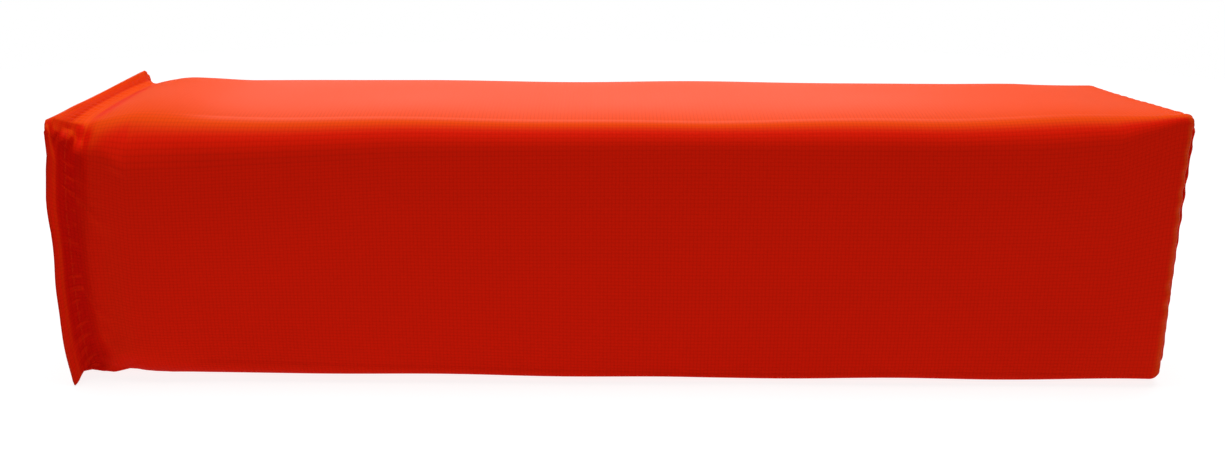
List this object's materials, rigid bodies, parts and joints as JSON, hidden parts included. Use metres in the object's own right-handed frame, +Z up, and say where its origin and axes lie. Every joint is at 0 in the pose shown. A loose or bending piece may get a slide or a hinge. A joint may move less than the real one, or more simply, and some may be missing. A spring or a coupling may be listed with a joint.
{
  "type": "football end zone pylon",
  "caption": "Square padded pylon lying on its side: foam core and sand ballast in a sewn, coated orange fabric cover with a flanged seam round its base end.",
  "frame": {"origin": "on the floor, under the middle of the pylon's length and width as it lies on one side", "axes": "+X along the pylon from its base end to its top end, +Y towards the face with the lap seam, +Z up"},
  "size_m": [0.457, 0.1166, 0.1123],
  "materials": {
    "cover_fabric": "fluorescent red-orange coated fabric with a fine square grid, soft sheen",
    "seam_thread": "bonded thread in the colour of the cover",
    "foam": "pale open-cell foam",
    "bag_cloth": "plain undyed woven cloth",
    "sand": "dry sand"
  },
  "bodies": {
    "root": {"ballast_bag_base_half": "bag_cloth", "ballast_bag_thread": "seam_thread", "ballast_bag_top_half": "bag_cloth", "ballast_sand": "sand", "base_panel": "cover_fabric", "base_seam_bobbin_thread": "seam_thread", "base_seam_needle_thread": "seam_thread", "cover_wrap": "cover_fabric", "foam_core": "foam", "foam_plug": "foam", "lap_seam_lower_bobbin_thread": "seam_thread", "lap_seam_lower_needle_thread": "seam_thread", "lap_seam_upper_bobbin_thread": "seam_thread", "lap_seam_upper_needle_thread": "seam_thread", "top_panel": "cover_fabric", "top_seam_bobbin_thread": "seam_thread", "top_seam_needle_thread": "seam_thread"}
  },
  "joints": []
}
